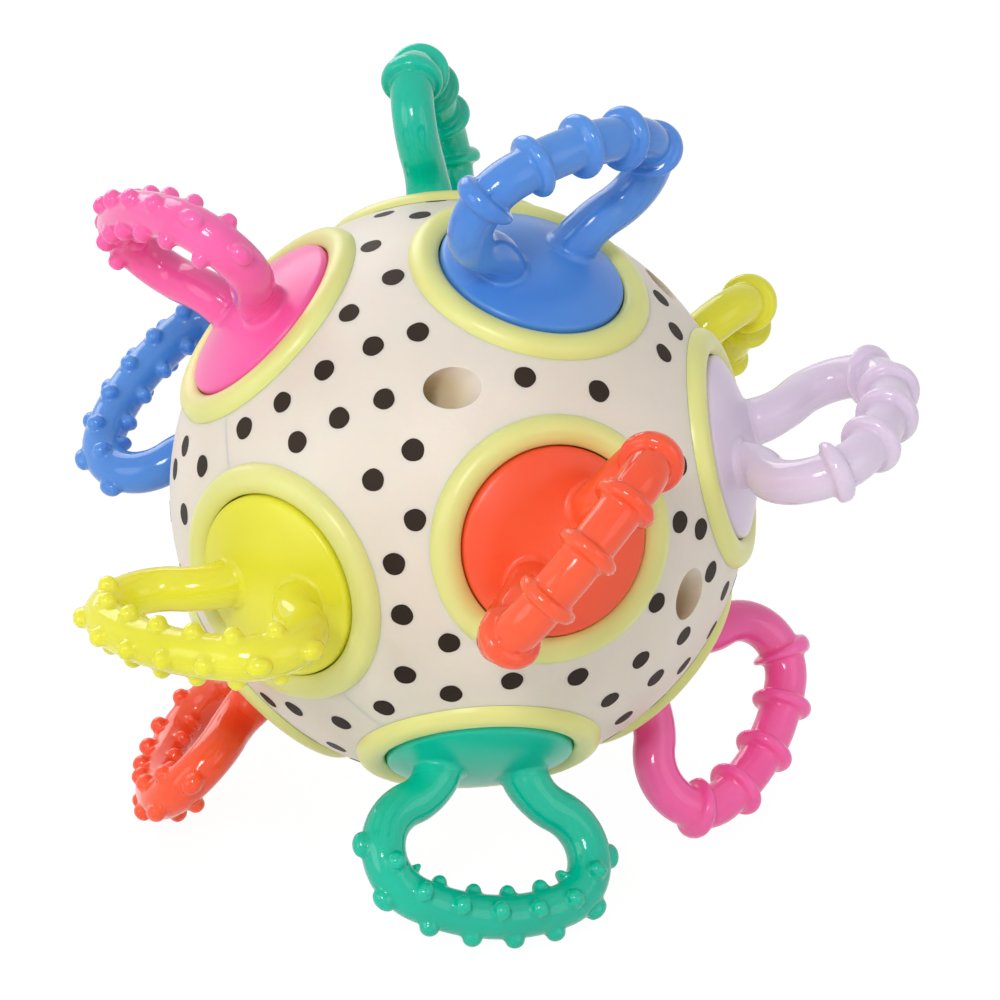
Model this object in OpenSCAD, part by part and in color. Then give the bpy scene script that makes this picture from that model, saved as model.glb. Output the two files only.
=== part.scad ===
// Sensory ball: a hollow ball of two half shells with twelve ports.
// Each port holds a soft disc with a teether loop that spins with clicks.
// Millimetres. The origin is the ball's centre, +Z is up as the ball stands on four of its loops.

/* [Ball] */
// Outside diameter of the ball
ball_d = 93; // [88:0.5:98]
// Wall thickness of the shells
shell_wall = 2.6; // [2.2:0.1:3]
// Depth of the stepped lap along the seam
seam_lap = 1.4; // [1:0.1:2]

/* [Ports] */
// Diameter of the soft disc in each port
disc_d = 29.4; // [28.4:0.1:30.2]
// Height of the disc's dome over its rim
disc_dome = 3.4; // [2.6:0.1:4.2]
// Thickness of the disc at its rim
disc_rim_t = 4; // [3.4:0.1:4.4]
// Depth of the disc's rim under the ball's outermost point
rim_depth = 1.7; // [1.2:0.1:2.2]
// Width of the raised ring round the disc
bezel_band = 4.4; // [3.8:0.1:4.8]
// Rounding radius of the raised ring's section
bezel_round = 2.5; // [2.1:0.1:2.7]

/* [Loops] */
// Diameter of a loop's round tube
loop_tube_d = 7; // [6.4:0.1:7.6]
// Outside width of a loop
loop_span = 42.4; // [40:0.2:44]
// Height of a loop's outer edge over the ball
loop_rise = 27.7; // [26:0.1:30]
// Distance between the feet of a loop's two legs, at their centres
leg_gap = 14; // [13:0.5:15.5]
// Centreline radius of a loop's shoulders
shoulder_r = 8.3; // [7.6:0.1:9]
// Centreline radius of a loop's crown
crown_r = 34; // [30:0.5:38]
// Outside diameter of the rings on a ringed loop
ring_d = 10.1; // [9.2:0.1:10.8]
// Thickness of a ring
ring_t = 2.2; // [1.8:0.1:2.5]
// Distance between rings along the tube
ring_pitch = 9.1; // [8:0.1:9.6]
// Diameter of a bump on a bumpy loop
bump_d = 2.9; // [2.5:0.1:3.3]
// Distance between bumps along the tube
bump_pitch = 6.6; // [6:0.1:7]

/* [Clicks] */
// Clicks in one turn of a loop
click_count = 24; // [18:3:27]
// Outside diameter of a click wheel
wheel_d = 22; // [20:0.5:23]
// Thickness of a click wheel
wheel_t = 2.8; // [2.4:0.1:3.2]
// Diameter of a loop's spindle
spindle_d = 12; // [11:0.5:13]
// Thickness of a spring leaf
leaf_t = 0.7; // [0.5:0.1:0.9]

/* [Screws] */
// Diameter of the screw wells in the front shell
well_d = 6.8; // [6.4:0.1:7.4]
// Distance of the shell screws from the pole axis
well_reach = 30; // [29:0.5:31]
// Shank diameter of the shell screws
shell_screw_d = 2.9; // [2.6:0.1:3.2]
// Shank diameter of the hub screws
hub_screw_d = 2.8; // [2.6:0.1:3.2]

/* [Hidden] */
// Smoothness of round shapes
$fn = 96;
// Length that a cut runs past a surface
overrun = 1;
// Running clearance of a spindle in its bearing, on the radius
run_gap = 0.08;
// Clearance round and under a disc
disc_gap = 0.25;
// Axial gap between a click wheel and the port floor
float_gap = 0.3;
// Clearance of pieces that are fitted and stay still
fit_gap = 0.05;
// Smoothness of the many small round shapes
small_fn = 32;

// Loop colours
blue_soft = "#5b8fdf";
orange_soft = "#f9623c";
lavender_soft = "#d9c3de";
pink_soft = "#f7609f";
yellow_soft = "#e3dd3e";
green_soft = "#12b795";
lime_plastic = "#dde18d";
cream_plastic = "#ece3d6";
click_plastic = "#e9e9e4";
screw_steel = "#a9adb2";

// Directions of the ports: three round each pole and six on the seam,
// with the lower three right under the upper three
upper_polar = acos(sqrt(2 / 3));
seam_polar = 90;
lower_polar = 180 - upper_polar;

// One row for each port: name, colour, polar angle, azimuth, turn of the loop, ringed or bumpy,
// and how far the loop leans out of its own plane and tips along it
STATIONS = [
    ["blue_ringed", blue_soft, upper_polar, 0, 80, true, -5.9, 3.6],
    ["orange_ringed", orange_soft, upper_polar, 120, 0, true, 13.6, 0],
    ["lavender_ringed", lavender_soft, upper_polar, 240, 45, true, -4.5, -5.5],
    ["pink_bumpy", pink_soft, seam_polar, 30, 155, false, 0, 0],
    ["yellow_bumpy", yellow_soft, seam_polar, 90, 150, false, 0, 0],
    ["green_bumpy", green_soft, seam_polar, 150, 105, false, 0, 0],
    ["pink_ringed", pink_soft, seam_polar, 210, 100, true, 0, 0],
    ["yellow_ringed", yellow_soft, seam_polar, 270, 160, true, 0, 0],
    ["green_ringed", green_soft, seam_polar, 330, 130, true, 0, 0],
    ["blue_bumpy", blue_soft, lower_polar, 0, 60, false, 0, 0],
    ["orange_bumpy", orange_soft, lower_polar, 120, 10, false, 0, 0],
    ["lavender_bumpy", lavender_soft, lower_polar, 240, 45, false, 0, 0]
];

// How the ball lies: on the square of four ports whose middle points down, turned about the vertical,
// and trimmed, because those four loops are turned differently and reach down by different lengths
lie_turn = 141;
lie_tilt = atan(sqrt(2));
trim_about_x = 2.2;
trim_about_y = -2.9;

// Ball
ball_r = ball_d / 2;
cavity_r = ball_r - shell_wall;
lap_r = ball_r - shell_wall / 2;

// Levels of a port, measured from the ball's centre along the port's axis
rim_z = ball_r - rim_depth;
crown_z = rim_z + disc_dome;
disc_base_z = rim_z - disc_rim_t;
floor_z = disc_base_z - disc_gap;
floor_t = 2.4;
floor_under_z = floor_z - floor_t;
wheel_top_z = floor_under_z - float_gap;
wheel_base_z = wheel_top_z - wheel_t;

// Radii of a port
disc_r = disc_d / 2;
dome_r = (disc_r * disc_r + disc_dome * disc_dome) / (2 * disc_dome);
rim_chamfer = 0.8;
bezel_bore_r = disc_r + disc_gap;
bezel_r = bezel_bore_r + bezel_band;
bezel_ring_r = bezel_r - bezel_round;
bezel_z = sqrt(ball_r * ball_r - bezel_r * bezel_r) + fit_gap;
skirt_t = 2.8;
skirt_r = bezel_bore_r + skirt_t;
skirt_top_z = sqrt(ball_r * ball_r - skirt_r * skirt_r);
seat_r = skirt_r + fit_gap;
cup_wall = 1.8;
cup_r = seat_r + cup_wall;
spindle_r = spindle_d / 2;
bearing_r = spindle_r + run_gap;

// Click wheel, its key on the spindle and its spring
wheel_r = wheel_d / 2;
valley_share = 0.84;
valley_r = wheel_r * sin(180 / click_count) * valley_share;
valley_reach = wheel_r + valley_r / 3;
key_share = 0.6;
key_side = spindle_d * key_share;
key_seat = key_side + 2 * fit_gap;
nose_gap = 0.2;
nose_r = valley_r - nose_gap;
leaf_stand = 2.4;
leaf_reach = wheel_r + leaf_stand;
leaf_half = 6;
leaf_inset = 0.4;
leaf_h = wheel_t - 2 * leaf_inset;
leaf_z = wheel_base_z + leaf_inset;
eye_r = 2;
peg_r = 1.1;
peg_proud = 0.3;
peg_end_z = leaf_z - peg_proud;

// Screws
hub_head_inset = 1.5;
hub_head_r = spindle_r - hub_head_inset;
hub_head_t = 1.6;
hub_screw_r = hub_screw_d / 2;
hub_pilot_cap = 1;
hub_pilot_z = rim_z - hub_pilot_cap;
well_r = well_d / 2;
well_azimuths = [60, 180, 300];
post_wall = 1.4;
post_r = well_r + post_wall;
well_floor_z = 4;
shell_screw_r = shell_screw_d / 2;
shell_head_gap = 0.4;
shell_head_r = well_r - shell_head_gap;
shell_head_t = 2;
shell_screw_len = 13;
boss_wall = 2.6;
boss_r = shell_screw_r + boss_wall;
pilot_spare = 1.5;
pilot_depth = shell_screw_len - well_floor_z + pilot_spare;

// Loop centreline, in the plane of the loop: x across, z along the port's axis
tube_r = loop_tube_d / 2;
half_w = loop_span / 2 - tube_r;
crown_top_z = ball_r + loop_rise - tube_r;
crown_mid_z = crown_top_z - crown_r;
shoulder_x = half_w - shoulder_r;
shoulder_z = crown_mid_z + sqrt(pow(crown_r - shoulder_r, 2) - pow(shoulder_x, 2));
crown_angle = asin(shoulder_x / (crown_r - shoulder_r));
leg_x = leg_gap / 2;
leg_sunk = 0.4;
leg_z = rim_z - leg_sunk;
lean_z = ball_r;
leg_rise = shoulder_z - leg_z;
foot_r = (pow(leg_rise, 2) - pow(shoulder_r, 2) + pow(leg_x - shoulder_x, 2)) / (2 * (half_w - leg_x));
foot_angle = atan2(leg_rise, leg_x + foot_r - shoulder_x);
tuck = 0.3;
tuck_angle = tuck / shoulder_r * 180 / PI;
swell = 0.08;
fuller_r = tube_r + swell;

// Rings and bumps on a loop: how many, counted along the tube, with the middle one on the crown's middle
ring_count = 5;
outer_bumps = 8;
inner_bumps = 6;
face_bumps = 7;

// Point on the centreline at a distance from the crown's middle: [x, z, direction from the arc's centre]
crown_run = crown_r * crown_angle * PI / 180;
function centre_at(d) = let (side = sign(d), run = abs(d))
    run <= crown_run
        ? let (a = 90 - side * run / crown_r * 180 / PI)
            [crown_r * cos(a), crown_mid_z + crown_r * sin(a), a]
        : let (
            past = (run - crown_run) / shoulder_r * 180 / PI,
            a = 90 - side * (crown_angle + past)
        )
            [side * shoulder_x + shoulder_r * cos(a), shoulder_z + shoulder_r * sin(a), a];

// Positions of a row of copies, evenly spaced about the crown's middle
function row_at(count, pitch) = [for (k = [0:count - 1]) (k - (count - 1) / 2) * pitch];

module lying() {
    rotate([trim_about_x, trim_about_y, 0])
        rotate([0, 0, lie_turn]) rotate([0, -lie_tilt, 0]) children();
}

// Frame of a port: +Z out of the ball along the port's axis
module port(s) {
    rotate([0, s[2], s[3]]) children();
}

module at_station(s) {
    lying() port(s) children();
}

module well_places() {
    for (a = well_azimuths) rotate([0, 0, a]) translate([well_reach, 0, 0]) children();
}

// The whole ball before it is split at the seam
module ball_body() {
    difference() {
        sphere(r = ball_r);
        difference() {
            sphere(r = cavity_r);
            for (s = STATIONS) port(s) translate([0, 0, floor_under_z]) cylinder(r = cup_r, h = ball_r);
        }
        for (s = STATIONS) port(s) {
            translate([0, 0, floor_z]) cylinder(r = seat_r, h = ball_r);
            translate([0, 0, floor_under_z - overrun]) cylinder(r = bearing_r, h = floor_t + 2 * overrun);
        }
    }
}

// Pegs under the port floors that carry the click springs
module pegs(rows) {
    for (s = rows) port(s) for (side = [-1, 1])
        translate([leaf_reach, side * leaf_half, peg_end_z])
            cylinder(r = peg_r, h = floor_under_z - peg_end_z + fit_gap);
}

// Tongue of the seam's lap, or with grow the groove that takes it
module lap_band(grow) {
    band_h = seam_lap + grow;
    translate([0, 0, -band_h]) difference() {
        cylinder(r = lap_r + grow, h = band_h);
        translate([0, 0, -overrun]) cylinder(r = cavity_r - overrun - grow, h = band_h + 2 * overrun);
    }
}

module front_shell() {
    color(cream_plastic) lying() {
        difference() {
            union() {
                intersection() {
                    ball_body();
                    union() {
                        translate([0, 0, ball_r]) cube(2 * ball_r, center = true);
                        lap_band(0);
                    }
                }
                intersection() {
                    sphere(r = lap_r);
                    well_places() cylinder(r = post_r, h = ball_r);
                }
            }
            well_places() {
                translate([0, 0, well_floor_z]) cylinder(r = well_r, h = ball_r);
                translate([0, 0, -overrun])
                    cylinder(r = shell_screw_r + fit_gap, h = well_floor_z + 2 * overrun);
            }
        }
        pegs([for (s = STATIONS) if (s[2] < seam_polar) s]);
    }
}

module rear_shell() {
    color(cream_plastic) lying() {
        difference() {
            union() {
                difference() {
                    ball_body();
                    translate([0, 0, ball_r]) cube(2 * ball_r, center = true);
                    lap_band(fit_gap);
                }
                intersection() {
                    sphere(r = lap_r);
                    mirror([0, 0, 1]) well_places() cylinder(r = boss_r, h = ball_r);
                }
            }
            mirror([0, 0, 1]) well_places() translate([0, 0, -overrun])
                cylinder(r = shell_screw_r, h = pilot_depth + overrun);
        }
        pegs([for (s = STATIONS) if (s[2] >= seam_polar) s]);
    }
}

// A length of the loop's tube along an arc of the loop's plane
module tube_arc(x, z, r, from, to, section_r) {
    translate([x, 0, z]) rotate([90, 0, 0]) rotate([0, 0, from])
        rotate_extrude(angle = to - from) translate([r, 0]) circle(r = section_r);
}

// The shoulders run a little way into the crown and the feet, which are a touch fuller
module loop_tube() {
    tube_arc(0, crown_mid_z, crown_r, 90 - crown_angle, 90 + crown_angle, fuller_r);
    for (side = [0, 1]) mirror([side, 0, 0]) {
        tube_arc(shoulder_x, shoulder_z, shoulder_r,
            -foot_angle - tuck_angle, 90 - crown_angle + tuck_angle, tube_r);
        tube_arc(leg_x + foot_r, leg_z, foot_r, 180 - foot_angle, 180, fuller_r);
    }
}

// Stands children on the centreline, +Z along the tube and +X away from the arc's centre
module on_tube(d) {
    p = centre_at(d);
    translate([p[0], 0, p[1]]) rotate([0, -p[2], 0]) children();
}

module rings() {
    for (d = row_at(ring_count, ring_pitch)) on_tube(d)
        rotate_extrude() translate([ring_d / 2 - ring_t / 2, 0]) circle(d = ring_t);
}

module bump(round_angle) {
    rotate([0, 0, round_angle]) translate([tube_r, 0, 0])
        rotate([0, 90, 0]) sphere(d = bump_d, $fn = small_fn);
}

// Rows of bumps outside and inside the loop, and half a step on, one row on each face
module bumps() {
    for (d = row_at(outer_bumps, bump_pitch)) on_tube(d) bump(0);
    for (d = row_at(inner_bumps, bump_pitch)) on_tube(d) bump(180);
    for (d = row_at(face_bumps, bump_pitch), side = [-90, 90]) on_tube(d) bump(side);
}

// Domed disc with its spindle and the square key that drives the click wheel
module disc() {
    difference() {
        union() {
            intersection() {
                translate([0, 0, crown_z - dome_r]) sphere(r = dome_r);
                rotate_extrude() polygon([
                    [0, disc_base_z],
                    [disc_r - rim_chamfer, disc_base_z],
                    [disc_r, disc_base_z + rim_chamfer],
                    [disc_r, rim_z - rim_chamfer],
                    [disc_r - rim_chamfer, rim_z + rim_chamfer],
                    [0, crown_z + disc_dome]
                ]);
            }
            translate([0, 0, wheel_top_z])
                cylinder(r = spindle_r, h = disc_base_z - wheel_top_z + overrun);
            translate([-key_side / 2, -key_side / 2, wheel_base_z])
                cube([key_side, key_side, wheel_t + overrun]);
        }
        translate([0, 0, wheel_base_z - overrun])
            cylinder(r = hub_screw_r + fit_gap, h = hub_pilot_z - wheel_base_z + overrun);
    }
}

// The soft tube leans about a point in the middle of its disc
module leaning(s) {
    translate([0, 0, lean_z]) rotate([s[6], 0, 0]) rotate([0, s[7], 0]) translate([0, 0, -lean_z]) children();
}

module soft_loop(s) {
    color(s[1]) at_station(s) rotate([0, 0, s[4]]) {
        disc();
        leaning(s) {
            loop_tube();
            if (s[5]) rings();
            else bumps();
        }
    }
}

// Raised ring with a skirt that stands on the port's floor
module bezel(s) {
    color(lime_plastic) at_station(s) difference() {
        union() {
            translate([0, 0, bezel_z]) rotate_extrude() translate([bezel_ring_r, 0]) circle(r = bezel_round);
            translate([0, 0, floor_z]) cylinder(r = skirt_r, h = skirt_top_z - floor_z);
        }
        difference() {
            sphere(r = ball_r + fit_gap);
            translate([0, 0, floor_z]) cylinder(r = skirt_r, h = ball_r);
        }
        translate([0, 0, floor_z - overrun]) cylinder(r = bezel_bore_r, h = ball_r);
    }
}

// Wheel on the spindle's key, with one valley for each click
module click_wheel(s) {
    cut_h = wheel_t + 2 * overrun;
    color(click_plastic) at_station(s) translate([0, 0, wheel_base_z]) difference() {
        cylinder(r = wheel_r, h = wheel_t);
        for (k = [0:click_count - 1]) rotate([0, 0, 360 / click_count * k])
            translate([valley_reach, 0, -overrun]) cylinder(r = valley_r, h = cut_h, $fn = small_fn);
        rotate([0, 0, s[4]]) translate([-key_seat / 2, -key_seat / 2, -overrun])
            cube([key_seat, key_seat, cut_h]);
    }
}

module hub_screw(s) {
    color(screw_steel) at_station(s) {
        translate([0, 0, wheel_base_z - hub_head_t]) cylinder(r = hub_head_r, h = hub_head_t);
        translate([0, 0, wheel_base_z - hub_head_t / 2])
            cylinder(r = hub_screw_r, h = hub_pilot_z - wheel_base_z + hub_head_t / 2 - hub_screw_r);
    }
}

// One leaf for each port: two eyes on the shell's pegs and a nose in the wheel's valley
module click_springs() {
    color(click_plastic) for (s = STATIONS) at_station(s) translate([0, 0, leaf_z]) difference() {
        union() {
            translate([leaf_reach - leaf_t / 2, -leaf_half, 0]) cube([leaf_t, 2 * leaf_half, leaf_h]);
            for (side = [-1, 1]) translate([leaf_reach, side * leaf_half, 0])
                cylinder(r = eye_r, h = leaf_h);
            translate([valley_reach, 0, 0]) cylinder(r = nose_r, h = leaf_h);
            translate([valley_reach, -nose_r / 2, 0])
                cube([leaf_reach - valley_reach, nose_r, leaf_h]);
        }
        for (side = [-1, 1]) translate([leaf_reach, side * leaf_half, -overrun])
            cylinder(r = peg_r + fit_gap, h = leaf_h + 2 * overrun);
    }
}

module shell_screws() {
    color(screw_steel) lying() well_places() {
        translate([0, 0, well_floor_z]) cylinder(r = shell_head_r, h = shell_head_t);
        translate([0, 0, well_floor_z + shell_head_t / 2 - shell_screw_len])
            cylinder(r = shell_screw_r - fit_gap, h = shell_screw_len);
    }
}

front_shell();
rear_shell();
click_springs();
shell_screws();
for (s = STATIONS) {
    soft_loop(s);
    bezel(s);
    click_wheel(s);
    hub_screw(s);
}
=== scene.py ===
import math

import bpy
import numpy as np
from mathutils import Matrix, Vector


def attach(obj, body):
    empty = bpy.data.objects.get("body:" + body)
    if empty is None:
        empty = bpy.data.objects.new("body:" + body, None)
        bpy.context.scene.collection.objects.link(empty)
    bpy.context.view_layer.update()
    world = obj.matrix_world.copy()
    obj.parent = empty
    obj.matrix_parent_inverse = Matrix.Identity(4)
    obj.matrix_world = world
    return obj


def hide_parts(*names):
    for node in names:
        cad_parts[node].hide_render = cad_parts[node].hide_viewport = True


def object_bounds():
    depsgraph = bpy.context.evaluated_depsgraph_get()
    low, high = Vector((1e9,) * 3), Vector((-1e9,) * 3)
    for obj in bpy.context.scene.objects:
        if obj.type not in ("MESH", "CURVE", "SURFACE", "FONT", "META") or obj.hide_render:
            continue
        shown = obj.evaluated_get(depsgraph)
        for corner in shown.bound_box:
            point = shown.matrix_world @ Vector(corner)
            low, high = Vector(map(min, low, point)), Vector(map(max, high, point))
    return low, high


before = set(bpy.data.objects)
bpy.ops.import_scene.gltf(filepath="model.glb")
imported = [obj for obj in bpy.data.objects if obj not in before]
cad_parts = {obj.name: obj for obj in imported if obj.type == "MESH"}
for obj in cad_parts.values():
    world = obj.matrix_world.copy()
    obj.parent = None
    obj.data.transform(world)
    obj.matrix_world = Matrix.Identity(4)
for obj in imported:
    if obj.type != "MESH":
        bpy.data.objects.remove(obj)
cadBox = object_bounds()
mm = 0.001
print("stage: frame loaded,", len(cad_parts), "nodes")


# Right-handed turn about x, y or z: cosine and sine of the angle in the plane of the other two axes
def turnAbout(axis, degrees):
    c, s = math.cos(math.radians(degrees)), math.sin(math.radians(degrees))
    if axis == "x":
        return np.array([[1, 0, 0], [0, c, -s], [0, s, c]])
    if axis == "y":
        return np.array([[c, 0, s], [0, 1, 0], [-s, 0, c]])
    return np.array([[c, -s, 0], [s, c, 0], [0, 0, 1]])


# How the ball lies on four of its loops, in degrees. The upper three ports stand at the polar angle that puts
# four neighbours 60 degrees from every port
lie = {"turn": 141, "trimX": 2.2, "trimY": -2.9, "tilt": math.degrees(math.atan(math.sqrt(2)))}
trim = turnAbout("y", lie["trimY"]) @ turnAbout("x", lie["trimX"])
lying = trim @ turnAbout("z", lie["turn"]) @ turnAbout("y", -lie["tilt"])
upperPolar = math.degrees(math.acos(math.sqrt(2 / 3)))

# Each port: colour, kind of loop, polar angle, azimuth, turn of the loop, and how far the soft loop leans
# out of its own plane (about its x) and tips along it (about its y), in degrees
ports = {
    "blue_ringed": ("blue", "ringed", upperPolar, 0, 80, -5.9, 3.6),
    "orange_ringed": ("orange", "ringed", upperPolar, 120, 0, 13.6, 0),
    "lavender_ringed": ("lavender", "ringed", upperPolar, 240, 45, -4.5, -5.5),
    "pink_bumpy": ("pink", "bumpy", 90, 30, 155, 0, 0),
    "yellow_bumpy": ("yellow", "bumpy", 90, 90, 150, 0, 0),
    "green_bumpy": ("green", "bumpy", 90, 150, 105, 0, 0),
    "pink_ringed": ("pink", "ringed", 90, 210, 100, -3.9, -2),
    "yellow_ringed": ("yellow", "ringed", 90, 270, 160, 0, 0),
    "green_ringed": ("green", "ringed", 90, 330, 130, 0, 0),
    "blue_bumpy": ("blue", "bumpy", 180 - upperPolar, 0, 60, 0, 0),
    "orange_bumpy": ("orange", "bumpy", 180 - upperPolar, 120, 10, 0, 0),
    "lavender_bumpy": ("lavender", "bumpy", 180 - upperPolar, 240, 45, 0, 0),
}


# Columns are the port's x, y and outward z: its polar angle, its azimuth, and then how the ball lies
def portFrame(name):
    polar, azimuth = ports[name][2:4]
    return lying @ turnAbout("z", azimuth) @ turnAbout("y", polar)


# The corners of a CAD node as rows, in millimetres
def nodePoints(name):
    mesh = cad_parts[name].data
    co = np.zeros(len(mesh.vertices) * 3, np.float32)
    mesh.vertices.foreach_get("co", co)
    return co.reshape(-1, 3).astype(float) / mm


ballR = float(np.linalg.norm(nodePoints("rear_shell"), axis=1).max())
print("stage: ball radius", round(ballR, 2))

# Camera: a long lens that looks down on the ball; distance and shift in ball radii
camera = {"elevation": 25.5, "distance": 16, "right": 0.1392, "up": -0.0352, "lens": 166.7, "sensor": 36,
          "frame": 1000, "near": 0.05, "far": 20}


# The camera's axes are right, up and back, turned down by the elevation. It stands back by the distance
def makeCamera():
    elevation = math.radians(camera["elevation"])
    right = np.array([1, 0, 0])
    up = np.array([0, math.sin(elevation), math.cos(elevation)])
    back = np.array([0, -math.cos(elevation), math.sin(elevation)])
    axes = trim @ np.stack([right, up, back], 1)
    place = axes @ (np.array([camera["right"], camera["up"], camera["distance"]]) * ballR * mm)
    data = bpy.data.cameras.new("camera")
    data.lens, data.sensor_width = camera["lens"], camera["sensor"]
    data.clip_start, data.clip_end = camera["near"], camera["far"]
    made = bpy.data.objects.new("camera", data)
    bpy.context.collection.objects.link(made)
    matrix = np.eye(4)
    matrix[:3, :3], matrix[:3, 3] = axes, place
    made.matrix_world = Matrix(matrix.tolist())
    bpy.context.scene.camera = made
    return axes, place / mm


cameraAxes, cameraPlace = makeCamera()


# Where the ray through a pixel of the photograph's frame first meets the ball, or passes nearest to it:
# the ray's nearest point to the centre, less half the chord
def onBall(px, py):
    focal, middle = camera["lens"] / camera["sensor"] * camera["frame"], camera["frame"] / 2
    ray = cameraAxes @ np.array([(px - middle) / focal, (middle - py) / focal, -1])
    ray /= np.linalg.norm(ray)
    along = -ray @ cameraPlace
    inside = ballR**2 - (cameraPlace @ cameraPlace - along**2)
    place = cameraPlace + ray * (along - math.sqrt(max(inside, 0)))
    return place / np.linalg.norm(place) * ballR


screenCurve = {"full": 255, "knee": 0.04045, "slope": 12.92, "offset": 0.055, "power": 2.4}


# A screen colour written as rrggbb, as linear light with alpha: a straight line up to the knee, then a power
def linear(code):
    c = screenCurve
    s = np.array([int(code[i:i + 2], 16) / c["full"] for i in (0, 2, 4)])
    curved = ((s + c["offset"]) / (1 + c["offset"])) ** c["power"]
    return (*np.where(s <= c["knee"], s / c["slope"], curved).tolist(), 1)


# A node with some of its sockets set
def addNode(tree, kind, sockets):
    node = tree.nodes.new(kind)
    for name, value in sockets.items():
        node.inputs[name].default_value = value
    return node


# A Math node that works on two things, each a number or another node's output
def addMath(tree, operation, first, second):
    node = tree.nodes.new("ShaderNodeMath")
    node.operation = operation
    for socket, value in zip(node.inputs, (first, second)):
        if isinstance(value, (int, float)):
            socket.default_value = value
        else:
            tree.links.new(value, socket)
    return node.outputs[0]


# Two shaders mixed by a share of the second
def addMix(tree, share, first, second):
    mix = tree.nodes.new("ShaderNodeMixShader")
    for socket, source in zip(mix.inputs, (share, first, second)):
        tree.links.new(source, socket)
    return mix.outputs[0]


# Noise scales per metre, relief in metres, and where on the drift the deep and the pale tone stand
skin = {"broadScale": 45, "wearScale": 160, "grainDetail": 3, "wearDetail": 4, "relief": 0.0004,
        "tones": {"deep": 0.3, "pale": 0.7}, "inputs": ("Scale", "Grain", "Polish", "Spread")}


# The moulded skin that every material here shares: broad drift of the tone, mottled polish and fine grain
def makeSkinGroup():
    group = bpy.data.node_groups.new("mouldedSkin", "ShaderNodeTree")
    for name in skin["inputs"]:
        group.interface.new_socket(name, in_out="INPUT", socket_type="NodeSocketFloat")
    for name in ("Tone", "Roughness", "Height"):
        group.interface.new_socket(name, in_out="OUTPUT", socket_type="NodeSocketFloat")
    enter, leave = group.nodes.new("NodeGroupInput"), group.nodes.new("NodeGroupOutput")
    place = group.nodes.new("ShaderNodeTexCoord")
    broad = addNode(group, "ShaderNodeTexNoise", {"Scale": skin["broadScale"]})
    fine = addNode(group, "ShaderNodeTexNoise", {"Detail": skin["grainDetail"]})
    wear = addNode(group, "ShaderNodeTexNoise", {"Scale": skin["wearScale"], "Detail": skin["wearDetail"]})
    for noise in (broad, fine, wear):
        group.links.new(place.outputs["Object"], noise.inputs["Vector"])
    group.links.new(enter.outputs["Scale"], fine.inputs["Scale"])
    mottle = addMath(group, "MULTIPLY", wear.outputs["Fac"], enter.outputs["Spread"])
    rough = addMath(group, "ADD", mottle, enter.outputs["Polish"])
    height = addMath(group, "MULTIPLY", fine.outputs["Fac"], enter.outputs["Grain"])
    group.links.new(broad.outputs["Fac"], leave.inputs["Tone"])
    group.links.new(rough, leave.inputs["Roughness"])
    group.links.new(height, leave.inputs["Height"])
    return group


skinGroup = makeSkinGroup()


# A material with the Principled shader alone, its tree and that shader
def newMaterial(name):
    material = bpy.data.materials.new(name)
    material.use_nodes = True
    tree = material.node_tree
    tree.nodes.clear()
    leave = tree.nodes.new("ShaderNodeOutputMaterial")
    shader = tree.nodes.new("ShaderNodeBsdfPrincipled")
    tree.links.new(shader.outputs[0], leave.inputs["Surface"])
    return material, tree, shader


# A Bump node over a height, on top of any earlier one
def addBump(tree, shader, height, strength, distance):
    relief = addNode(tree, "ShaderNodeBump", {"Strength": strength, "Distance": distance})
    tree.links.new(height, relief.inputs["Height"])
    if shader.inputs["Normal"].links:
        tree.links.new(shader.inputs["Normal"].links[0].from_socket, relief.inputs["Normal"])
    tree.links.new(relief.outputs["Normal"], shader.inputs["Normal"])


# Colour that drifts from deep to pale, mottled roughness and fine grain
def addSkin(tree, shader, finish):
    skinNode = tree.nodes.new("ShaderNodeGroup")
    skinNode.node_tree = skinGroup
    for name in skin["inputs"]:
        skinNode.inputs[name].default_value = finish[name.lower()]
    ramp = tree.nodes.new("ShaderNodeValToRGB")
    for element, (tone, place) in zip(ramp.color_ramp.elements, skin["tones"].items()):
        element.position, element.color = place, linear(finish[tone])
    tree.links.new(skinNode.outputs["Tone"], ramp.inputs["Fac"])
    tree.links.new(ramp.outputs["Color"], shader.inputs["Base Color"])
    tree.links.new(skinNode.outputs["Roughness"], shader.inputs["Roughness"])
    addBump(tree, shader, skinNode.outputs["Height"], finish["bump"], skin["relief"])


# Deep and pale tone of each soft colour, and how far red, green and blue light soak into it
softTones = {
    "blue": ("4885d6", "5895e0", (0.2, 0.45, 1)),
    "orange": ("f5512b", "fb6238", (1, 0.25, 0.08)),
    "lavender": ("d8c6de", "e6d8ea", (0.9, 0.7, 0.95)),
    "pink": ("f45aa4", "fb6fb4", (1, 0.3, 0.6)),
    "yellow": ("e0dc2c", "ebe745", (1, 0.95, 0.15)),
    "green": ("00b79a", "02c5a6", (0.1, 0.8, 0.7)),
}

# The soft finish; seamHalf is in millimetres, depth and seamRise are in metres
soft = {"scale": 900, "grain": 0.25, "polish": 0.05, "spread": 0.12, "bump": 0.12,
        "subsurface": 0.4, "depth": 0.0026, "specular": 0.4, "matte": 0.2,
        "seamHalf": 0.14, "seamRise": 0.0001, "seamStrength": 0.28}


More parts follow.
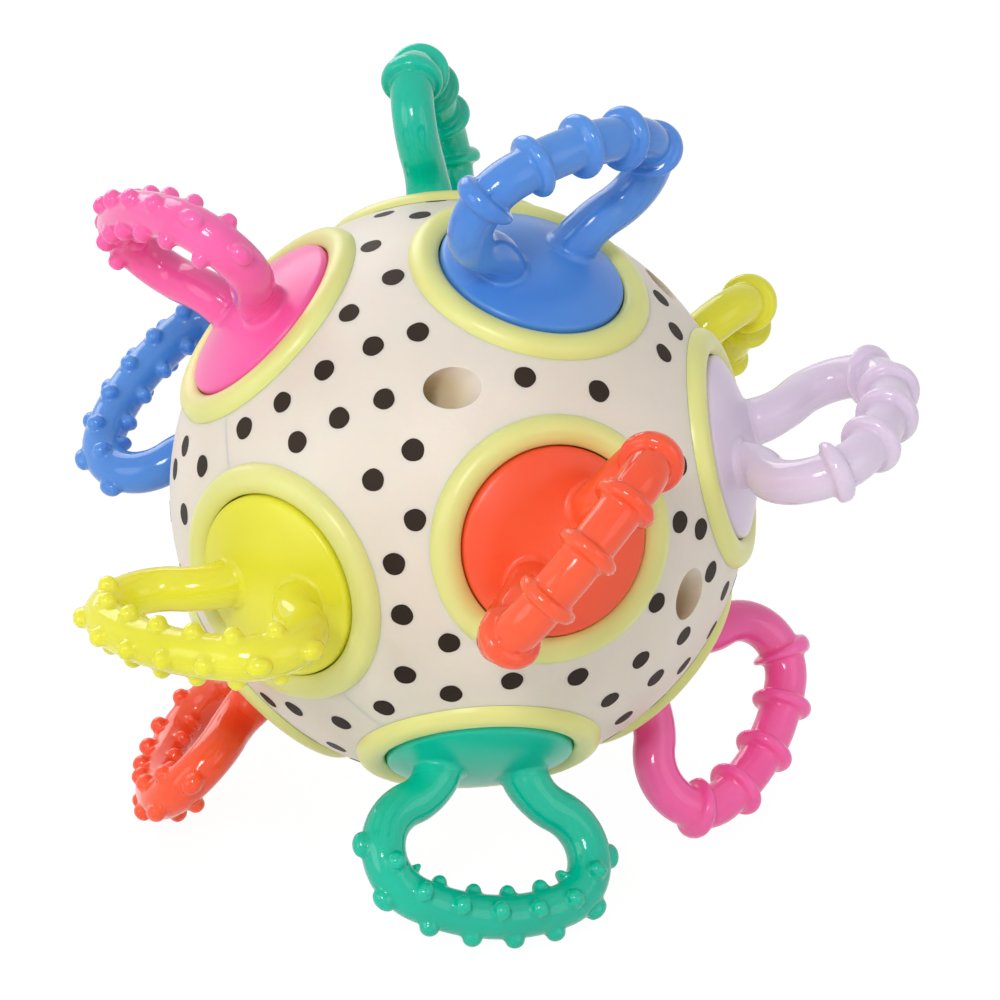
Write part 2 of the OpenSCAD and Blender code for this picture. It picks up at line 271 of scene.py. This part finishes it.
# Soft elastomer: light soaks in, the skin is glossy on the loop and duller on the plate of the disc, and a
# fine mould line stands along the parting plane. The mesh stores the share of plate, and the distance to the
# parting plane in millimetres
def makeSoft(colour):
    deep, pale, inside = softTones[colour]
    material, tree, shader = newMaterial(colour + "Soft")
    addSkin(tree, shader, {**soft, "deep": deep, "pale": pale})
    shader.inputs["Subsurface Weight"].default_value = soft["subsurface"]
    shader.inputs["Subsurface Radius"].default_value = inside
    shader.inputs["Subsurface Scale"].default_value = soft["depth"]
    shader.inputs["Specular IOR Level"].default_value = soft["specular"]
    plate, line = tree.nodes.new("ShaderNodeAttribute"), tree.nodes.new("ShaderNodeAttribute")
    plate.attribute_name, line.attribute_name = "plateShare", "partingDistance"
    duller = addMath(tree, "MULTIPLY", plate.outputs["Fac"], soft["matte"])
    rough = addMath(tree, "ADD", duller, shader.inputs["Roughness"].links[0].from_socket)
    tree.links.new(rough, shader.inputs["Roughness"])
    away = addMath(tree, "ABSOLUTE", line.outputs["Fac"], 0)
    ridge = addNode(tree, "ShaderNodeMapRange", {"From Max": soft["seamHalf"], "To Min": 1, "To Max": 0})
    ridge.interpolation_type = "SMOOTHSTEP"
    tree.links.new(away, ridge.inputs["Value"])
    addBump(tree, shader, ridge.outputs["Result"], soft["seamStrength"], soft["seamRise"])
    return material


# The hard finishes: tones, grain, polish, and the shader's own numbers
hard = {
    "creamShell": {
        "deep": "e2d7c8", "pale": "e9dfd2", "scale": 1400, "grain": 0.5, "polish": 0.36, "spread": 0.16,
        "bump": 0.18,
        "sockets": {
            "Subsurface Weight": 0.4, "Subsurface Radius": (1, 0.55, 0.25), "Subsurface Scale": 0.003},
        # inside: painted bounce light in the screw wells, its lighter and warmer tone, and the depths in
        # millimetres where it starts and is full
        "inside": {"tone": "f6e2c2", "from": 0.6, "to": 4}},
    "limeBezel": {
        "deep": "dddd86", "pale": "e7e793", "scale": 1100, "grain": 0.4, "polish": 0.28, "spread": 0.14,
        "bump": 0.18, "sockets": {"Subsurface Weight": 0.2, "Subsurface Scale": 0.0012}},
    "dotPrint": {
        "deep": "291d16", "pale": "362a22", "scale": 2600, "grain": 0.7, "polish": 0.45, "spread": 0.2,
        "bump": 0.3, "sockets": {"Specular IOR Level": 0.15}},
    "clickPlastic": {
        "deep": "e2e1db", "pale": "efeeea", "scale": 1500, "grain": 0.5, "polish": 0.34, "spread": 0.15,
        "bump": 0.2, "sockets": {}},
    "screwSteel": {
        "deep": "9aa0a6", "pale": "b9bdc1", "scale": 3000, "grain": 0.8, "polish": 0.22, "spread": 0.2,
        "bump": 0.3, "sockets": {"Metallic": 1}},
}


# Painted bounce light in the screw wells: under the ball's surface the tone turns lighter and warmer with
# depth, standing in for light that bounces in the wells and shines through the plastic. The distance from the
# ball's centre falls from the first depth to the second, in millimetres, while the share of the inner,
# painted tone rises from zero to one
def addPaintedWellGlow(tree, shader, inside):
    place, mix = tree.nodes.new("ShaderNodeTexCoord"), tree.nodes.new("ShaderNodeMix")
    radius = tree.nodes.new("ShaderNodeVectorMath")
    radius.operation, mix.data_type = "LENGTH", "RGBA"
    outer, inner = [socket for socket in mix.inputs if socket.type == "RGBA"]
    tone = [socket for socket in mix.outputs if socket.type == "RGBA"][0]
    depth = addNode(tree, "ShaderNodeMapRange", {
        "From Min": (ballR - inside["from"]) * mm, "From Max": (ballR - inside["to"]) * mm})
    tree.links.new(place.outputs["Object"], radius.inputs[0])
    tree.links.new(radius.outputs["Value"], depth.inputs["Value"])
    tree.links.new(depth.outputs["Result"], mix.inputs[0])
    tree.links.new(shader.inputs["Base Color"].links[0].from_socket, outer)
    inner.default_value = linear(inside["tone"])
    tree.links.new(tone, shader.inputs["Base Color"])


# A hard finish from its row
def makeHard(name):
    material, tree, shader = newMaterial(name)
    addSkin(tree, shader, hard[name])
    # The shell's row paints bounce light into its wells
    if "inside" in hard[name]:
        addPaintedWellGlow(tree, shader, hard[name]["inside"])
    for socket, value in hard[name]["sockets"].items():
        shader.inputs[socket].default_value = value
    return material


softMaterials = {colour: makeSoft(colour) for colour in softTones}
hardMaterials = {name: makeHard(name) for name in hard}
print("stage: materials", len(softMaterials) + len(hardMaterials))


# A mesh from points in millimetres, with its place in the mesh
def meshObject(name, points, faces, material=None):
    mesh = bpy.data.meshes.new(name)
    mesh.from_pydata((np.asarray(points) * mm).tolist(), [], faces)
    mesh.shade_smooth()
    made = bpy.data.objects.new(name, mesh)
    bpy.context.collection.objects.link(made)
    if material:
        mesh.materials.append(material)
    return made


# Quads of a grid whose columns close into a ring: each joins a point, its neighbour and the two over them
def ringQuads(rows, columns):
    i, j = np.meshgrid(np.arange(rows - 1), np.arange(columns), indexing="ij")
    k = (j + 1) % columns
    quads = np.stack([i * columns + j, i * columns + k, (i + 1) * columns + k, (i + 1) * columns + j], -1)
    return quads.reshape(-1, 4)


# Triangles that close a ring of points onto one point
def capFan(apex, first, columns, turned=False):
    j = np.arange(columns)
    k = (j + 1) % columns
    sides = (first + j, first + k) if turned else (first + k, first + j)
    return np.stack([np.full(columns, apex), *sides], -1)


# A closed surface from a grid of rows round an axis, its first and last row each closed onto a point
def closedGrid(grid, ends):
    rows, columns = grid.shape[:2]
    n = rows * columns
    caps = np.vstack([capFan(n, 0, columns), capFan(n + 1, n - columns, columns, True)])
    return np.vstack([grid.reshape(-1, 3), ends]), ringQuads(rows, columns).tolist() + caps.tolist()


# Angles of evenly spaced points round a circle
def evenAngles(count):
    return np.arange(count) * 2 * np.pi / count


# Points along an arc, from one angle to another, in degrees
def arcPoints(x, z, r, start, end, count):
    a = np.radians(np.linspace(start, end, count))
    return np.stack([x + r * np.cos(a), z + r * np.sin(a)], 1)


# Soft loops, in millimetres and degrees; x runs across the loop and z out of the ball. A row of bumps has its
# angle round the tube and its count
loopShape = {
    "tubeR": 3.5, "halfSpan": 17.7, "rise": 27.7, "shoulderR": 8.3, "crownR": 34, "legX": 7, "footZ": 44.4,
    "footSink": 2.2, "footFlare": 0.3, "flareFrom": 3.6, "flareSpan": 2.4,
    "ringR": 5.05, "ringT": 2.3, "ringPitch": 9.1, "rings": 5, "ringFillet": 0.2,
    "bumpR": 1.45, "bumpPitch": 6.6, "bumpFillet": 0.15, "bumpLift": 0.15,
    "bumpRows": ((0, 8), (180, 6), (90, 7), (-90, 7)),
    "filletFrom": 0.6, "footSteps": 200, "shoulderSteps": 400, "crownSteps": 200,
    "alongStep": 0.2, "around": 112, "voxel": 0.29, "softening": 2, "softeningShare": 0.5,
}


# The loop's centreline as points even in length: a straight sunk foot, a foot arc that bends outwards, a
# shoulder arc that bends back in, the broad crown arc, and the same mirrored
def loopCentre():
    s = loopShape
    footZ = s["footZ"]
    crownZ = ballR + s["rise"] - s["tubeR"] - s["crownR"]
    shoulderX = s["halfSpan"] - s["shoulderR"]
    reach = s["crownR"] - s["shoulderR"]
    shoulderZ = crownZ + math.sqrt(reach**2 - shoulderX**2)
    crownAngle = math.degrees(math.asin(shoulderX / reach))
    climb = shoulderZ - footZ
    footR = (climb**2 - s["shoulderR"]**2 + (s["legX"] - shoulderX)**2) / (2 * (s["halfSpan"] - s["legX"]))
    footAngle = math.degrees(math.atan2(climb, s["legX"] + footR - shoulderX))
    sunk = np.array([[s["legX"], footZ - s["footSink"]]])
    foot = arcPoints(s["legX"] + footR, footZ, footR, 180, 180 - footAngle, s["footSteps"])
    meet = 90 - crownAngle
    shoulder = arcPoints(shoulderX, shoulderZ, s["shoulderR"], -footAngle, meet, s["shoulderSteps"])
    crown = arcPoints(0, crownZ, s["crownR"], meet, 90, s["crownSteps"])
    half = np.vstack([sunk, foot, shoulder[1:], crown[1:]])
    line = np.vstack([half, (half * [-1, 1])[-2::-1]])
    length = np.r_[0, np.cumsum(np.linalg.norm(np.diff(line, axis=0), axis=1))]
    even = np.linspace(0, length[-1], int(length[-1] / s["alongStep"]))
    points = np.stack([np.interp(even, length, line[:, 0]), np.interp(even, length, line[:, 1])], 1)
    return points, even - length[-1] / 2


# Height of a round ridge or bump over its base: a half circle, with a small concave fillet at its foot
def bulge(distance, radius, fillet):
    ridge = np.sqrt(np.clip(radius**2 - distance**2, 0, None))
    reach = np.clip(radius + fillet - distance, 0, fillet)
    foot = fillet - np.sqrt(np.clip(fillet**2 - reach**2, 0, None))
    return np.maximum(ridge, np.where(distance > radius * loopShape["filletFrom"], foot, 0))


# A round profile carried along the centreline. Its radius is the tube's, plus a flare at the feet, plus
# rounded rings at an even pitch, or rows of round bumps, the rows on the faces half a step on
def tubeSurface(kind):
    s = loopShape
    line, run = loopCentre()
    tangent = np.gradient(line, axis=0)
    tangent /= np.linalg.norm(tangent, axis=1)[:, None]
    outward = np.stack([tangent[:, 1], -tangent[:, 0]], 1)
    around = evenAngles(s["around"])
    foot = run[-1] - np.abs(run) - s["footSink"]
    flare = s["footFlare"] * np.exp(-((np.clip(foot - s["flareFrom"], 0, None) / s["flareSpan"]) ** 2))
    radius = np.repeat((s["tubeR"] + flare)[:, None], s["around"], 1)
    if kind == "ringed":
        half = s["ringT"] / 2
        for k in range(s["rings"]):
            away = np.abs(run - (k - (s["rings"] - 1) / 2) * s["ringPitch"])[:, None]
            step = np.where(away < half, s["ringR"] - s["tubeR"] - half, 0)
            radius += bulge(away, half, s["ringFillet"]) + step
    else:
        for turn, count in s["bumpRows"]:
            across = np.angle(np.exp(1j * (around - math.radians(turn)))) * s["tubeR"]
            for k in range(count):
                along = run - (k - (count - 1) / 2) * s["bumpPitch"]
                away = np.hypot(along[:, None], across)
                lift = np.where(away < s["bumpR"], s["bumpLift"], 0)
                radius += bulge(away, s["bumpR"], s["bumpFillet"]) + lift
    x = line[:, :1] + outward[:, :1] * radius * np.cos(around)
    z = line[:, 1:] + outward[:, 1:] * radius * np.cos(around)
    y = radius * np.sin(around)
    ends = np.array([[line[0, 0], 0, line[0, 1]], [line[-1, 0], 0, line[-1, 1]]])
    return closedGrid(np.stack([x, y, z], -1), ends)


# The disc with its spindle and key, in millimetres and degrees; its heights are from the ball's centre, and
# pole is the radius of the last row before the axis
discShape = {
    "radius": 14.7, "base": 40.8, "rim": 44.8, "dome": 3.4, "rimRound": 0.95, "rimSpan": 62,
    "spindleR": 6, "spindleEnd": 37.85, "keyHalf": 3.6, "keyEnd": 35.05,
    "round": 0.3, "pole": 0.15, "columns": 240, "domeRows": 60, "lowRows": 8, "highRows": 10,
    "filletOut": 1, "filletIn": 0.5, "filletR": 3.8, "facing": 3.5,
}


# A revolved profile: key, spindle, flat underside, rounded rim and a shallow dome. Its top lifts in a concave
# fillet round each leg, wider on the side towards the rim
def discSurface():
    d, s = discShape, loopShape
    radius, rise = d["radius"], d["dome"]
    domeR = (radius**2 + rise**2) / (2 * rise)
    domeZ = d["rim"] + rise - domeR
    r, pole = d["rimRound"], d["pole"]
    rimReach = radius - r + r * math.cos(math.radians(d["rimSpan"]))
    rimTop = domeZ + math.sqrt(domeR**2 - rimReach**2)
    highZ = rimTop - r * math.sin(math.radians(d["rimSpan"]))
    low = arcPoints(radius - r, d["base"] + r, r, -90, 0, d["lowRows"])
    high = arcPoints(radius - r, highZ, r, 0, d["rimSpan"], d["highRows"])
    rho = np.linspace(rimReach, pole, d["domeRows"])
    dome = np.stack([rho, domeZ + np.sqrt(domeR**2 - rho**2)], 1)
    key, spindle, ease = d["keyHalf"], d["spindleR"], d["round"]
    inner = np.array([[pole, d["keyEnd"]], [key - ease, d["keyEnd"]], [key, d["keyEnd"] + ease],
                      [key, d["spindleEnd"]], [spindle - ease, d["spindleEnd"]],
                      [spindle, d["spindleEnd"] + ease], [spindle, d["base"]]])
    profile = np.vstack([inner, low, high, dome[1:]])
    around = evenAngles(d["columns"])
    x = profile[:, :1] * np.cos(around)
    y = profile[:, :1] * np.sin(around)
    z = np.repeat(profile[:, 1:], d["columns"], 1)
    onTop = np.arange(len(profile))[:, None] > len(inner) + len(low) + len(high) // 2
    for side in (1, -1):
        away = np.hypot(x - side * s["legX"], y)
        share = np.clip((x * side - s["legX"]) / d["facing"], -1, 1) * 0.5 + 0.5
        fillet = d["filletIn"] + (d["filletOut"] - d["filletIn"]) * share
        gap = np.clip(d["filletR"] + fillet - away, 0, fillet)
        z += np.where(onTop, fillet - np.sqrt(np.clip(fillet**2 - gap**2, 0, None)), 0)
    poles = np.array([[0, 0, profile[0, 1]], [0, 0, z[-1].mean()]])
    return closedGrid(np.stack([x, y, z], -1), poles)


# The points and quads of an object with its modifiers applied, in millimetres
def evaluatedQuads(made):
    view = bpy.context.evaluated_depsgraph_get()
    view.update()
    mesh = made.evaluated_get(view).to_mesh()
    co, corners = np.zeros(len(mesh.vertices) * 3, np.float32), np.zeros(len(mesh.loops), np.int32)
    mesh.vertices.foreach_get("co", co)
    mesh.loops.foreach_get("vertex_index", corners)
    made.evaluated_get(view).to_mesh_clear()
    return co.reshape(-1, 3).astype(float) / mm, corners.reshape(-1, 4)


# Tube and disc fused into one skin, and softened so that every junction is a small fillet
def fusedLoop(kind):
    tube, tubeFaces = tubeSurface(kind)
    disc, discFaces = discSurface()
    faces = tubeFaces + [[i + len(tube) for i in face] for face in discFaces]
    rough = meshObject("rough", np.vstack([tube, disc]), faces)
    fuse = rough.modifiers.new("fuse", "REMESH")
    fuse.mode, fuse.voxel_size, fuse.use_smooth_shade = "VOXEL", loopShape["voxel"] * mm, True
    ease = rough.modifiers.new("ease", "SMOOTH")
    ease.factor, ease.iterations = loopShape["softeningShare"], loopShape["softening"]
    points, quads = evaluatedQuads(rough)
    bpy.data.objects.remove(rough)
    return points, quads


# Heights from the ball's centre, in millimetres: the lean's pivot and where it starts and is full, and where
# the plate's duller skin is full and gone
leanShape = {"pivot": 46.5, "from": 46, "to": 51}
plateShape = {"full": 48, "none": 50}


# A number stored at each point of a piece, for its material
def storeOnPoints(piece, name, values):
    piece.data.attributes.new(name, "FLOAT", "POINT").data.foreach_set("value", values.astype(np.float32))


# The soft loop leans about the middle of its disc: not at all at the disc, and fully above the feet. Between
# them the share s of the turn runs as s squared times three less two s
def leaned(points, lean, tip):
    share = np.clip((points[:, 2] - leanShape["from"]) / (leanShape["to"] - leanShape["from"]), 0, 1)
    share = share * share * (3 - 2 * share)
    turn = turnAbout("x", lean) @ turnAbout("y", tip)
    pivot = np.array([0, 0, leanShape["pivot"]])
    return points + share[:, None] * ((points - pivot) @ turn.T + pivot - points)


for kind in ("ringed", "bumpy"):
    points, quads = fusedLoop(kind)
    print("stage:", kind, "loop", len(quads), "quads")
    for name, (colour, thisKind, *_, turn, lean, tip) in ports.items():
        if thisKind != kind:
            continue
        axes = portFrame(name) @ turnAbout("z", turn)
        placed = leaned(points, lean, tip) @ axes.T
        piece = meshObject(name + "_soft_loop", placed, quads.tolist(), softMaterials[colour])
        plate = (plateShape["none"] - points[:, 2]) / (plateShape["none"] - plateShape["full"])
        storeOnPoints(piece, "plateShare", np.clip(plate, 0, 1))
        storeOnPoints(piece, "partingDistance", points[:, 1])
        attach(piece, name)
        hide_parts(name + "_loop")


# Printed dots: those that the photograph shows, by pixel, and an even scatter on the rest of the ball.
# Lengths are in millimetres. Each count of lobes has its share of the radius. The scatter stays where the
# cosine to the camera's direction is under seenFrom, and each circle starts square to the direction aside
dotPrint = {"radius": 1.72, "lift": 0.04, "sink": 0.12, "edge": 24, "spacing": 6.6, "clearOfRing": 21.8,
            "clearOfWell": 7.6, "sizeSpread": 0.02, "lobes": {3: 0.02, 5: 0.012},
            "aside": (0.3, 0.5, 0.81), "tries": 900, "jitter": 0.03, "seenFrom": 0.12, "sharpFrom": 40,
            "seeds": {"jitter": 12, "order": 5, "edge": 3}}
shownDots = {
    "under the blue port": [(371, 246), (393, 277), (349, 313), (373, 346), (418, 332), (525, 377),
                            (599, 391)],
    "over the pink port": [(384, 214), (420, 215), (436, 201)],
    "beside the pink port": [(324, 370), (282, 402), (244, 428), (297, 442), (339, 418), (384, 399)],
    "left edge": [(185, 446), (175, 469), (202, 466), (184, 514)],
    "between yellow and orange": [(413, 450), (373, 480), (415, 520), (394, 564), (402, 615),
                                  (449, 643)],
    "over the green port": [(405, 675), (451, 694), (384, 708), (341, 723), (512, 681), (578, 677)],
    "left of the green port": [(294, 709), (268, 700), (336, 747), (308, 737)],
    "right of the green port": [(610, 700), (624, 718), (618, 747), (641, 660), (656, 678), (660, 703)],
    "under the orange port": [(684, 636), (684, 666), (712, 630), (657, 603)],
    "right edge": [(711, 572), (725, 591), (735, 585), (701, 529), (680, 522), (680, 465)],
    "under the lavender port": [(664, 353), (676, 331), (661, 298)],
}
wells = {"reach": 30, "azimuths": (60, 180, 300)}


# Unit directions of the dots. The scatter is a golden spiral whose steps are jittered, taken in a mixed order
# and kept off the rings, the wells, the dots that are already there, and what the photograph shows
def dotPlaces():
    shown = np.array([onBall(x, y) for panel in shownDots.values() for x, y in panel]) / ballR
    axes = np.array([portFrame(name)[:, 2] for name in ports])
    top = math.sqrt(ballR**2 - wells["reach"]**2)
    mouth = np.array([wells["reach"], 0, top]) / ballR
    mouths = np.array([lying @ turnAbout("z", azimuth) @ mouth for azimuth in wells["azimuths"]])
    count = dotPrint["tries"]
    k = np.arange(count)
    z = 1 - (2 * k + 1) / count
    a = math.pi * (3 - math.sqrt(5)) * k
    spiral = np.stack([np.sqrt(1 - z * z) * np.cos(a), np.sqrt(1 - z * z) * np.sin(a), z], 1)
    spiral += np.random.default_rng(dotPrint["seeds"]["jitter"]).normal(0, dotPrint["jitter"], spiral.shape)
    spiral /= np.linalg.norm(spiral, axis=1)[:, None]
    spiral = spiral[np.random.default_rng(dotPrint["seeds"]["order"]).permutation(count)]
    free = (spiral @ axes.T).max(1) < math.cos(dotPrint["clearOfRing"] / ballR)
    free &= (spiral @ mouths.T).max(1) < math.cos(dotPrint["clearOfWell"] / ballR)
    free &= spiral @ (cameraPlace / np.linalg.norm(cameraPlace)) < dotPrint["seenFrom"]
    kept = list(shown)
    for place in spiral[free]:
        if max(np.array(kept) @ place) < math.cos(dotPrint["spacing"] / ballR):
            kept.append(place)
    return np.array(kept)


# Each dot is a thin closed coin that follows the ball: a middle and a slightly uneven edge just over the
# surface, and the same edge just under it. The edge is a circle with a few faint lobes, each a sine round it
def makeDots():
    d = dotPrint
    places, edge = dotPlaces(), d["edge"]
    around = evenAngles(edge)
    chance = np.random.default_rng(d["seeds"]["edge"])
    across = np.cross(places, d["aside"])
    across /= np.linalg.norm(across, axis=1)[:, None]
    up = np.cross(places, across)
    phases = chance.uniform(0, 2 * np.pi, (len(d["lobes"]), len(places), 1))
    lobes = sum(s * np.sin(k * around + phase) for (k, s), phase in zip(d["lobes"].items(), phases))
    radius = d["radius"] * (1 + chance.normal(0, d["sizeSpread"], (len(places), 1))) * (1 + lobes)
    circle = np.cos(around)[:, None] * across[:, None] + np.sin(around)[:, None] * up[:, None]
    rim = places[:, None] * ballR + radius[..., None] * circle
    rim /= np.linalg.norm(rim, axis=2)[..., None]
    middle = places[:, None] * (ballR + d["lift"])
    points = np.concatenate([rim * (ballR - d["sink"]), rim * (ballR + d["lift"]), middle], 1)
    starts = (np.arange(len(places)) * (2 * edge + 1))[:, None, None]
    sides = (ringQuads(2, edge) + starts).reshape(-1, 4)
    tops = (capFan(2 * edge, edge, edge, True) + starts).reshape(-1, 3)
    floors = (np.arange(edge)[::-1] + starts[:, 0]).tolist()
    faces = sides.tolist() + tops.tolist() + floors
    piece = meshObject("dot_print", points.reshape(-1, 3), faces, hardMaterials["dotPrint"])
    piece.data.set_sharp_from_angle(angle=math.radians(d["sharpFrom"]))
    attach(piece, "ball")
    print("stage: dots", len(places))


makeDots()

# Finishes of the CAD nodes, by what their names say
for name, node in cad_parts.items():
    if name.endswith("_bezel"):
        finish = hardMaterials["limeBezel"]
    elif "screw" in name:
        finish = hardMaterials["screwSteel"]
    elif "click" in name:
        finish = hardMaterials["clickPlastic"]
    elif name.endswith("_shell"):
        finish = hardMaterials["creamShell"]
    else:
        finish = softMaterials[ports[name.replace("_loop", "")][0]]
    node.data.materials.clear()
    node.data.materials.append(finish)
print("stage: finishes")

# Floor in millimetres, lamps in watts and metres, and background
floorShape = {"half": 1500, "whiteShare": 0.92, "tone": 0.9, "roughness": 0.7, "glow": 1.04}
lamps = {
    "key": {"power": 5.6, "size": 0.3, "place": (-0.29, -1.0, 0.77)},
    "left": {"power": 3, "size": 0.8, "place": (-1.05, -0.72, 0.42)},
    "right": {"power": 2, "size": 0.9, "place": (0.9, -0.7, 0.5)},
    "back": {"power": 7, "size": 1, "place": (-0.7, 1.05, 0.75)},
}
world = {"colour": (1, 1, 1, 1), "even": 0.44, "seen": 1}


# One where a ray comes from the camera, a reflection or a see-through surface, and zero for other light
def seenPlainly(tree):
    path = tree.nodes.new("ShaderNodeLightPath")
    seen = addMath(tree, "MAXIMUM", path.outputs["Is Camera Ray"], path.outputs["Is Glossy Ray"])
    return addMath(tree, "MAXIMUM", seen, path.outputs["Is Transmission Ray"])


# A pale sheet level with the lowest loop, which shows mostly its own white and a share of the shadow
def makeFloor():
    low, half = cadBox[0][2] / mm, floorShape["half"]
    corners = [(-half, -half, low), (half, -half, low), (half, half, low), (-half, half, low)]
    piece = meshObject("floor", corners, [[0, 1, 2, 3]])
    material, tree, shader = newMaterial("paleFloor")
    shader.inputs["Base Color"].default_value = (*[floorShape["tone"]] * 3, 1)
    shader.inputs["Roughness"].default_value = floorShape["roughness"]
    glow = addNode(tree, "ShaderNodeEmission", {"Strength": floorShape["glow"]})
    leave = [node for node in tree.nodes if node.bl_idname == "ShaderNodeOutputMaterial"][0]
    share = addMath(tree, "MULTIPLY", seenPlainly(tree), floorShape["whiteShare"])
    tree.links.new(addMix(tree, share, shader.outputs[0], glow.outputs[0]), leave.inputs["Surface"])
    piece.data.materials.append(material)


# Even pale light, and plain white where it is looked at
def makeWorld():
    studio = bpy.data.worlds.new("studio")
    bpy.context.scene.world = studio
    studio.use_nodes = True
    tree = studio.node_tree
    tree.nodes.clear()
    leave = tree.nodes.new("ShaderNodeOutputWorld")
    even = addNode(tree, "ShaderNodeBackground", {"Color": world["colour"], "Strength": world["even"]})
    white = addNode(tree, "ShaderNodeBackground", {"Color": world["colour"], "Strength": world["seen"]})
    mixed = addMix(tree, seenPlainly(tree), even.outputs[0], white.outputs[0])
    tree.links.new(mixed, leave.inputs["Surface"])


# Round soft boxes that all face the ball
def makeLamps():
    for name, lamp in lamps.items():
        data = bpy.data.lights.new(name, "AREA")
        data.energy, data.shape, data.size = lamp["power"], "DISK", lamp["size"]
        made = bpy.data.objects.new(name, data)
        bpy.context.collection.objects.link(made)
        made.location = lamp["place"]
        made.rotation_mode = "QUATERNION"
        made.rotation_quaternion = (-Vector(lamp["place"])).to_track_quat("-Z", "Y")


makeFloor()
makeWorld()
makeLamps()
bpy.context.scene.view_settings.view_transform = "Standard"
print("stage: studio")
